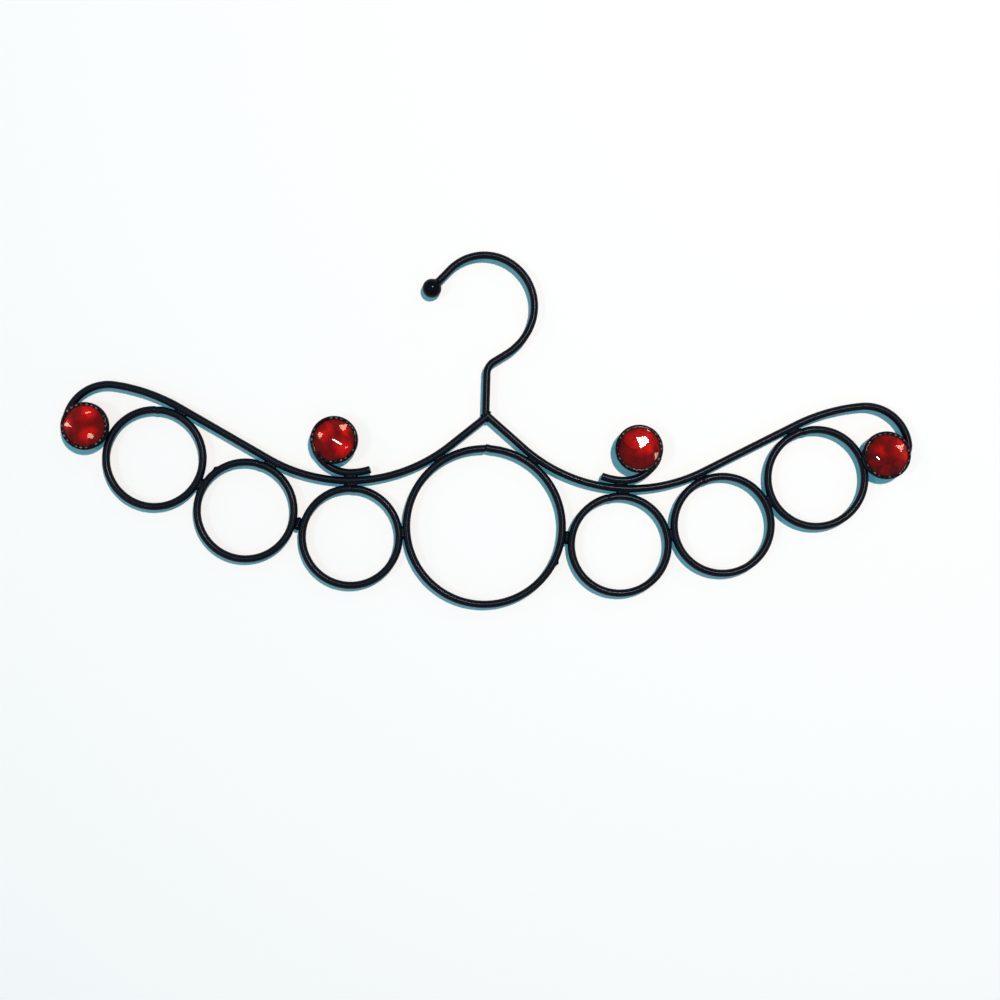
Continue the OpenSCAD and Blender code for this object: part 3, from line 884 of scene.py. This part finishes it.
# %% Crimp tree
def crimp_tree():
    sizes = {name: "Vector" for name in ("Cup middle", "Fold outside", "Fold top", "Fold inside")}
    sizes.update({"Fold count": "Int", "Fold radius": "Float", "Fold width": "Float"})
    tree, start = new_tree("crimped_lip", sizes)
    path = add(tree, "GeometryNodeCurveQuadraticBezier")
    path.inputs["Resolution"].default_value = 10
    share = add(tree, "GeometryNodeSplineParameter")
    half_turn = add(tree, "ShaderNodeMath", operation="MULTIPLY")
    half_turn.inputs[1].default_value = math.pi
    arch = add(tree, "ShaderNodeMath", operation="SINE")
    blunt = add(tree, "ShaderNodeMath", operation="POWER")
    blunt.inputs[1].default_value = 0.35
    keep_share = add(tree, "GeometryNodeStoreNamedAttribute", data_type="FLOAT", domain="POINT")
    keep_share.inputs["Name"].default_value = "fold_share"
    section = add(tree, "GeometryNodeCurvePrimitiveCircle")
    section.inputs["Resolution"].default_value = 12
    sweep = add(tree, "GeometryNodeCurveToMesh")
    sweep.inputs["Fill Caps"].default_value = True
    widen = add(tree, "GeometryNodeTransform")
    stretch = add(tree, "ShaderNodeCombineXYZ")
    stretch.inputs["X"].default_value = 1
    stretch.inputs["Y"].default_value = 1
    places = add(tree, "GeometryNodeMeshLine")
    places.inputs["Offset"].default_value = (0, 0, 0)
    number = add(tree, "GeometryNodeInputIndex")
    step = add(tree, "ShaderNodeMath", operation="DIVIDE")
    step.inputs[0].default_value = 2 * math.pi
    angle = add(tree, "ShaderNodeMath", operation="MULTIPLY")
    about_axis = add(tree, "ShaderNodeCombineXYZ")
    turn = add(tree, "FunctionNodeEulerToRotation")
    folds = add(tree, "GeometryNodeInstanceOnPoints")
    join = add(tree, "GeometryNodeJoinGeometry")
    links = tree.links
    links.new(start.outputs["Fold outside"], path.inputs["Start"])
    links.new(start.outputs["Fold top"], path.inputs["Middle"])
    links.new(start.outputs["Fold inside"], path.inputs["End"])
    links.new(share.outputs["Factor"], half_turn.inputs[0])
    links.new(half_turn.outputs[0], arch.inputs[0])
    links.new(arch.outputs[0], blunt.inputs[0])
    links.new(start.outputs["Fold radius"], section.inputs["Radius"])
    links.new(path.outputs["Curve"], keep_share.inputs["Geometry"])
    links.new(share.outputs["Factor"], keep_share.inputs["Value"])
    links.new(keep_share.outputs["Geometry"], sweep.inputs["Curve"])
    links.new(section.outputs["Curve"], sweep.inputs["Profile Curve"])
    links.new(blunt.outputs[0], sweep.inputs["Scale"])
    links.new(sweep.outputs["Mesh"], widen.inputs["Geometry"])
    links.new(start.outputs["Fold width"], stretch.inputs["Z"])
    links.new(stretch.outputs["Vector"], widen.inputs["Scale"])
    links.new(start.outputs["Fold count"], places.inputs["Count"])
    links.new(start.outputs["Cup middle"], places.inputs["Start Location"])
    links.new(start.outputs["Fold count"], step.inputs[1])
    links.new(number.outputs["Index"], angle.inputs[0])
    links.new(step.outputs[0], angle.inputs[1])
    links.new(angle.outputs[0], about_axis.inputs["Y"])
    links.new(about_axis.outputs["Vector"], turn.inputs["Euler"])
    links.new(places.outputs["Mesh"], folds.inputs["Points"])
    links.new(widen.outputs["Geometry"], folds.inputs["Instance"])
    links.new(turn.outputs["Rotation"], folds.inputs["Rotation"])
    links.new(folds.outputs["Instances"], join.inputs["Geometry"])
    links.new(start.outputs["Geometry"], join.inputs["Geometry"])
    close_tree(tree, start, join.outputs["Geometry"])
    return tree


crimped_lip = crimp_tree()

# %% [markdown]
# Each fold carries two short pale dashes of painted highlight, where the folds catch the light. The
# tree keeps how far along its fold each point lies, and the finish turns two short stretches of that
# into pale dashes, broken up by noise. A painted image would need unwrapping, and this doesn't.

# %% Painted glints on the folds
def paint_fold_glints(material):
    tree = material.node_tree
    shader = tree.nodes["Principled BSDF"]
    tone = shader.inputs["Base Color"].links[0].from_socket
    place = add(tree, "ShaderNodeTexCoord")
    share = add(tree, "ShaderNodeAttribute", attribute_name="fold_share")
    dashes = add(tree, "ShaderNodeValToRGB")
    ramp = dashes.color_ramp
    ramp.interpolation = "CONSTANT"
    ramp.elements[0].color = (0, 0, 0, 1)
    ramp.elements[1].position = 0.58
    ramp.elements[1].color = (1, 1, 1, 1)
    for position, level in ((0.68, 0), (0.80, 1), (0.90, 0)):
        ramp.elements.new(position).color = (level, level, level, 1)
    patches = add(tree, "ShaderNodeTexNoise")
    patches.inputs["Scale"].default_value = 330
    patchy = add(tree, "ShaderNodeMapRange")
    patchy.inputs["From Min"].default_value = 0.42
    patchy.inputs["From Max"].default_value = 0.6
    amount = add(tree, "ShaderNodeMath", operation="MULTIPLY")
    # Painted highlight: a pale grey is mixed into the paint along two stretches of each fold.
    fold_glint_mix = add(tree, "ShaderNodeMix", data_type="RGBA")
    fold_glint_mix.inputs["B"].default_value = (0.33, 0.34, 0.35, 1)
    links = tree.links
    links.new(share.outputs["Fac"], dashes.inputs["Fac"])
    links.new(place.outputs["Object"], patches.inputs["Vector"])
    links.new(patches.outputs["Fac"], patchy.inputs["Value"])
    links.new(dashes.outputs["Color"], amount.inputs[0])
    links.new(patchy.outputs["Result"], amount.inputs[1])
    links.new(amount.outputs[0], fold_glint_mix.inputs["Factor"])
    links.new(tone, fold_glint_mix.inputs["A"])
    links.new(fold_glint_mix.outputs["Result"], shader.inputs["Base Color"])


paint_fold_glints(cup_enamel)
print("cup enamel has", len(cup_enamel.node_tree.nodes), "nodes")

# %% Cups
shell_sides = 104
shell_profile = [
    (1.85, 0), (1.85, 6), (1.85, 10.3), (1.92, 10.8), (2.2, 11.15), (2.7, 11.25), (3.6, 11.25),
    (4.0, 11.18), (4.33, 10.95), (4.55, 10.5), (4.6, 10.05), (4.58, 9.75), (4.5, 9.6), (4.42, 9.72),
    (4.2, 10.1), (3.85, 10.45), (3.5, 10.55), (2.6, 10.55), (2.45, 10.4), (2.45, 6), (2.45, 0),
]
shell_profile = [(height * mm, radius * mm) for height, radius in shell_profile]
cup_nodes = [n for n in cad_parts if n.endswith("_cup")]
for node in cup_nodes:
    centre = middle(node)
    centre.y = 0
    shell = lathe(node + "_crimped", shell_profile, centre, -depth_way, shell_sides, cup_enamel)
    cup = settle(
        shell, crimped_lip,
        Cup_middle=tuple(centre),
        Fold_outside=(10.95 * mm, -4.15 * mm, -0.16 * mm),
        Fold_top=(10.55 * mm, -4.8 * mm, 0),
        Fold_inside=(9.75 * mm, -4.5 * mm, 0.16 * mm),
        Fold_count=26, Fold_radius=0.34 * mm, Fold_width=2.0, Finish=cup_enamel,
    )
    dress(cup, "cup_paint", node)
    print(node, len(cup.data.polygons), "faces")

# %% [markdown]
# ## Stones
#
# The stones are clear red, foil backed and cut with uneven facets, and glued in their cups. Light
# comes back out of such a stone in a few bright patches, while the rest stays dark. The crown is a
# low dome. Its corner points and a few chosen facets are joined by triangles, so every facet is flat
# and real. A chosen facet is tipped halfway between the camera and one of the lamps, so that it
# flashes, and it is lowered where it would stand above the dome's top.

# %% Crown
stone_r = 10.3 * mm
stone_back = 2.8 * mm
stone_edge = 3.9 * mm
crown = 3.6 * mm
dome_r = (stone_r ** 2 + crown ** 2) / (2 * crown)
corner_spacing = 1.7 * mm
crown_levels = [(0, 16, 1.0), (0.5, 8, 0.77), (0, 8, 0.45), (0, 1, 0)]


def dome(x, z):
    return stone_edge + crown - dome_r + math.sqrt(max(0, dome_r ** 2 - x * x - z * z))


def flash_normal(x, z, centre, light):
    place = centre + Vector((x, -dome(x, z), z))
    to_camera = (camera.location - place).normalized()
    return (to_camera + way_to_light(light, place)).normalized()


def inside(x, z, outline):
    crossings = 0
    for (x0, z0), (x1, z1) in zip(outline, outline[1:] + outline[:1]):
        if (z0 > z) != (z1 > z) and x < x0 + (z - z0) * (x1 - x0) / (z1 - z0):
            crossings += 1
    return crossings % 2 == 1


def crown_points(centre, turn, flashes):
    points = []
    faces = []
    for light, outline in flashes:
        outline = [(x * mm, z * mm) for x, z in outline]
        cx = sum(p[0] for p in outline) / len(outline)
        cz = sum(p[1] for p in outline) / len(outline)
        normal = flash_normal(cx, cz, centre, light)
        tilt = (normal.x / normal.y, normal.z / normal.y)
        heights = [dome(cx, cz) + tilt[0] * (x - cx) + tilt[1] * (z - cz) for x, z in outline]
        lower = max(0, max(heights) - stone_edge - crown)
        faces.append(list(range(len(points), len(points) + len(outline))))
        points += [(x, z, height - lower) for (x, z), height in zip(outline, heights)]
    taken = list(points)
    outlines = [[points[i][:2] for i in face] for face in faces]
    for offset, count, share in crown_levels:
        for i in range(count):
            angle = turn + 2 * math.pi * (i + offset) / count
            x, z = share * stone_r * math.cos(angle), share * stone_r * math.sin(angle)
            near = min([math.hypot(x - p[0], z - p[1]) for p in taken] + [1])
            covered = any(inside(x, z, outline) for outline in outlines)
            if share == 1.0 or (near > corner_spacing and not covered):
                points.append((x, z, stone_edge if share == 1.0 else dome(x, z)))
    return points, faces


# %% Stone mesh
merge_distance = 1e-7
rim_tolerance = 0.01 * mm
tone_scale = 400


def stone_piece(name, node, turn, flashes, painted_light_spots):
    centre = middle(node)
    centre.y = 0
    points, faces = crown_points(centre, turn, flashes)
    flat = [Vector((x, z)) for x, z, _ in points]
    found = delaunay_2d_cdt(flat, [], faces, 0, merge_distance)
    mesh = bmesh.new()
    tops = []
    for place, sources in zip(found[0], found[3]):
        height = points[sources[0]][2] if sources else dome(place.x, place.y)
        tops.append(mesh.verts.new(centre + Vector((place.x, -height, place.y))))
    for corners in found[2]:
        mesh.faces.new([tops[i] for i in corners])
    rim = [v for v in tops if abs((v.co - centre).xz.length - stone_r) < rim_tolerance]
    rim.sort(key=lambda v: math.atan2(v.co.z - centre.z, v.co.x - centre.x))
    low = [mesh.verts.new((v.co.x, centre.y - stone_back, v.co.z)) for v in rim]
    for i, vert in enumerate(rim):
        j = (i + 1) % len(rim)
        mesh.faces.new([vert, rim[j], low[j], low[i]])
    mesh.faces.new(low)
    bmesh.ops.recalc_face_normals(mesh, faces=mesh.faces[:])
    data = bpy.data.meshes.new(name)
    mesh.to_mesh(data)
    mesh.free()
    # Painted light: the red is brighter near each listed patch, for light that comes back out of the
    # stone.
    glow = data.attributes.new("glow", "FLOAT", "POINT")
    for vert in data.vertices:
        place = Vector((vert.co.x - centre.x, vert.co.z - centre.z))
        steps = [(place - Vector(spot) * mm).length / (reach * mm) for *spot, reach in painted_light_spots]
        glow.data[vert.index].value = max(math.exp(-step ** 2) for step in steps)
    # Painted reflection: each facet gets a random tone for the light it reflects.
    tone = data.attributes.new("facet_reflection_tone", "FLOAT", "FACE")
    for face in data.polygons:
        tone.data[face.index].value = noise.cell(face.center * tone_scale + Vector((turn, 0, 0)))
    data.materials.append(red_glass)
    piece = bpy.data.objects.new(name, data)
    scene.collection.objects.link(piece)
    dress(piece, "red_stone", node)
    print(name, len(data.polygons), "facets")


# %% [markdown]
# Clear glass over foil is slow and noisy to trace, so each stone is an opaque deep red under a clear
# coat, which gives the polish. How bright the red is, is painted light: painted patches of light
# that come back out of the stone, a painted reflection tone for each facet, and small shards and
# clouds of painted reflection that stand for the cuts on the stone's back.

# %% Red glass
red_glass, tree, shader, _ = new_material("red_glass")
place = add(tree, "ShaderNodeTexCoord")
# Painted light: the listed patches make the red brighter there.
glow = add(tree, "ShaderNodeAttribute", attribute_name="glow")
# Painted reflection: the random tone of each facet.
facet_reflection = add(tree, "ShaderNodeAttribute", attribute_name="facet_reflection_tone")
# Painted reflection: shards and clouds stand for light thrown back by the cuts on the stone's back.
shards = add(tree, "ShaderNodeTexVoronoi", distance="MANHATTAN")
shards.inputs["Scale"].default_value = 330
cloud = add(tree, "ShaderNodeTexNoise")
cloud.inputs["Scale"].default_value = 160
painted_glow_part = add(tree, "ShaderNodeMath", operation="MULTIPLY")
painted_glow_part.inputs[1].default_value = 0.62
facet_reflection_part = add(tree, "ShaderNodeMath", operation="MULTIPLY_ADD")
facet_reflection_part.inputs[1].default_value = 0.10
shard_grey = add(tree, "ShaderNodeSeparateColor")
shard_part = add(tree, "ShaderNodeMath", operation="MULTIPLY_ADD")
shard_part.inputs[1].default_value = 0.10
cloud_part = add(tree, "ShaderNodeMath", operation="MULTIPLY_ADD")
cloud_part.inputs[1].default_value = 0.22
reds = add(tree, "ShaderNodeValToRGB")
reds.color_ramp.elements[0].position = 0.05
reds.color_ramp.elements[0].color = (0.06, 0.0, 0.0, 1)
reds.color_ramp.elements[1].position = 0.95
reds.color_ramp.elements[1].color = (0.9, 0.004, 0.002, 1)
reds.color_ramp.elements.new(0.32).color = (0.2, 0.0, 0.0, 1)
links = tree.links
links.new(place.outputs["Object"], shards.inputs["Vector"])
links.new(place.outputs["Object"], cloud.inputs["Vector"])
links.new(glow.outputs["Fac"], painted_glow_part.inputs[0])
links.new(facet_reflection.outputs["Fac"], facet_reflection_part.inputs[0])
links.new(painted_glow_part.outputs[0], facet_reflection_part.inputs[2])
links.new(shards.outputs["Color"], shard_grey.inputs["Color"])
links.new(shard_grey.outputs["Red"], shard_part.inputs[0])
links.new(facet_reflection_part.outputs[0], shard_part.inputs[2])
links.new(cloud.outputs["Fac"], cloud_part.inputs[0])
links.new(shard_part.outputs[0], cloud_part.inputs[2])
links.new(cloud_part.outputs[0], reds.inputs["Fac"])
links.new(reds.outputs["Color"], shader.inputs["Base Color"])
shader.inputs["Roughness"].default_value = 0.35
shader.inputs["Specular IOR Level"].default_value = 0.0
shader.inputs["Coat Weight"].default_value = 1.0
shader.inputs["Coat Roughness"].default_value = 0.02
shader.inputs["Coat IOR"].default_value = 1.22
print("red glass has", len(tree.nodes), "nodes")

# %% [markdown]
# For each stone the table has the turn of its cut, the flashing facets as outlines in mm from the
# stone's middle with the lamp or window each answers to, and the painted bright patches as a middle
# and a reach in mm.

# %% Stones
stones = {
    "left_outer": (0.2, [
        ("low", [(2.6, -5.4), (3.1, -3.7), (3.8, -3.1), (5.4, -4.4), (4.7, -5.9)]),
        ("left", [(-9.0, 0.3), (-8.5, -0.2), (-7.2, 1.3), (-6.9, 2.2)]),
        ("high", [(1.3, 5.4), (3.7, 6.2), (3.6, 6.7), (1.4, 6.4)]),
    ], [(1.5, 7, 4), (-7, 0.5, 3), (2.5, -4, 3)]),
    "left_inner": (0.5, [
        ("high", [(2.4, 6.6), (4.4, 4.3), (5.3, 4.5), (4.8, 7.3)]),
        ("left", [(-7.2, 2.0), (-6.3, 0.2), (-4.6, 2.4), (-6.8, 3.6)]),
        ("key", [(-0.3, -0.1), (0.0, 0.15), (4.0, -2.0), (3.7, -2.3)]),
        ("low", [(5.3, -3.9), (5.8, -4.1), (6.9, -2.9), (6.6, -2.5)]),
    ], [(-4, 2.5, 4), (5, -4, 4), (5.5, 5, 2.5)]),
    "right_inner": (0.0, [
        ("key", [(-1.9, 4.9), (-0.6, 2.4), (0.2, -0.3), (3.8, 3.3), (2.9, 5.3)]),
        ("low", [(6.9, -1.9), (7.3, -5.0), (7.9, -4.5), (8.8, -1.6)]),
        ("high", [(3.0, 8.6), (4.9, 7.9), (5.1, 8.6), (3.6, 9.2)]),
    ], [(1, 3.5, 5.5), (4.5, 1, 3.5)]),
    "right_outer": (0.35, [
        ("high", [(2.8, 4.9), (5.5, 1.5), (7.1, 5.0), (4.1, 4.6)]),
        ("key", [(-5.7, -1.2), (-5.4, -1.0), (-4.2, -2.2), (-4.5, -2.4)]),
    ], [(6, 4, 4), (8, -1, 3), (-4.5, 3, 1.8)]),
}
for place, (turn, flashes, painted_light_spots) in stones.items():
    stone_piece(place + "_cut", place + "_stone", turn, flashes, painted_light_spots)

# %% [markdown]
# ## Glue
#
# The glue is a thin disc between a cup's floor and its stone. Hardly any of it shows, so its solids
# stay and only get a finish: yellowish, and cloudy where it has bubbles.

# %% Glue
glue_look, tree, shader, _ = new_material("set_glue")
place = add(tree, "ShaderNodeTexCoord")
haze = add(tree, "ShaderNodeTexNoise")
haze.inputs["Scale"].default_value = 300
haze_range = add(tree, "ShaderNodeMapRange")
haze_range.inputs["To Min"].default_value = 0.25
haze_range.inputs["To Max"].default_value = 0.55
tree.links.new(place.outputs["Object"], haze.inputs["Vector"])
tree.links.new(haze.outputs["Fac"], haze_range.inputs["Value"])
tree.links.new(haze_range.outputs["Result"], shader.inputs["Roughness"])
shader.inputs["Base Color"].default_value = (0.62, 0.55, 0.36, 1)
for node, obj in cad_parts.items():
    if node.endswith("_glue"):
        obj.material_slots[0].material = glue_look
        print(node, "keeps its solid")
